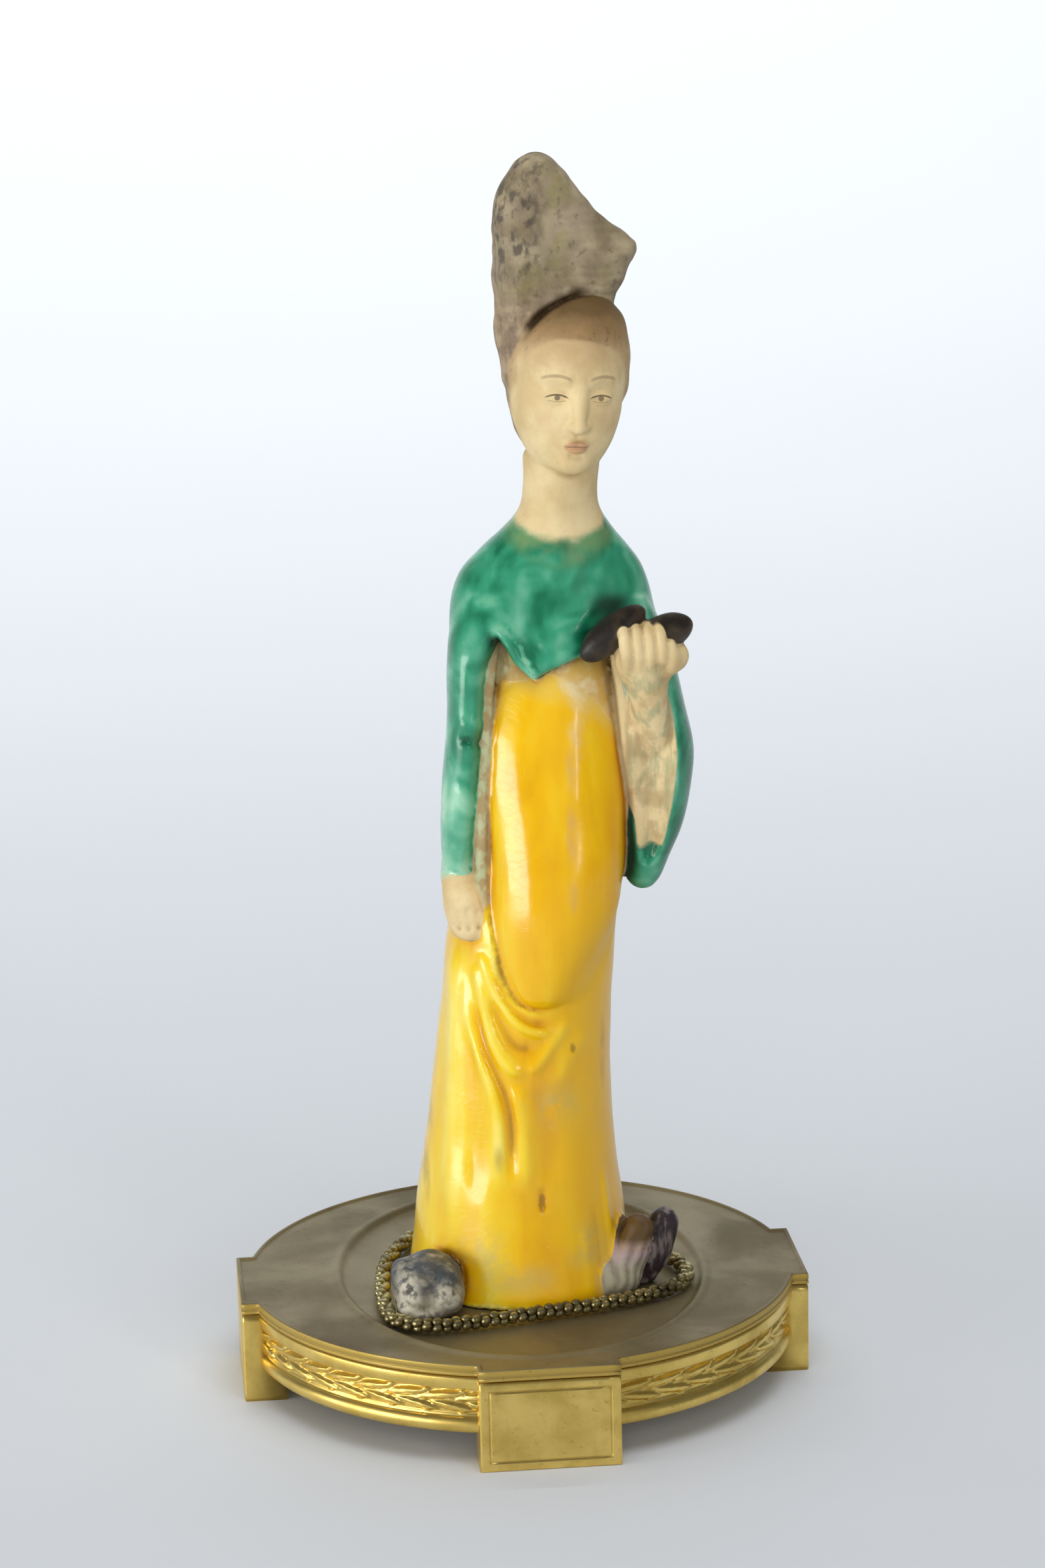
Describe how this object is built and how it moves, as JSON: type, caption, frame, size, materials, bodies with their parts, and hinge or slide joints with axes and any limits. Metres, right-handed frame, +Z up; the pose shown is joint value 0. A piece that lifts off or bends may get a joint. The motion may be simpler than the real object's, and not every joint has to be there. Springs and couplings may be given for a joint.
{
  "type": "glazed court lady figurine",
  "caption": "Standing court lady in green and yellow lead glaze with a high topknot, fitted on a round gilt bronze base with block feet.",
  "frame": {"origin": "on the floor under the middle of the round base", "axes": "+Z up along the figure, -Y towards the front block foot and the viewer, +X to the viewer's right"},
  "size_m": [0.175, 0.175, 0.3754],
  "materials": {
    "glazed_pottery": "lead-glazed pottery: yellow and green glaze, unglazed buff face and hands",
    "beaded_cord": "beaded gilt cord, darkened between the beads",
    "patinated_brass": "olive-brown patina, satin",
    "gilt_bronze": "soft worn gilding, satin"
  },
  "bodies": {
    "root": {"figurine": "glazed_pottery", "bead_collar": "beaded_cord", "top_plate": "patinated_brass", "plinth_frame": "gilt_bronze"}
  },
  "joints": []
}
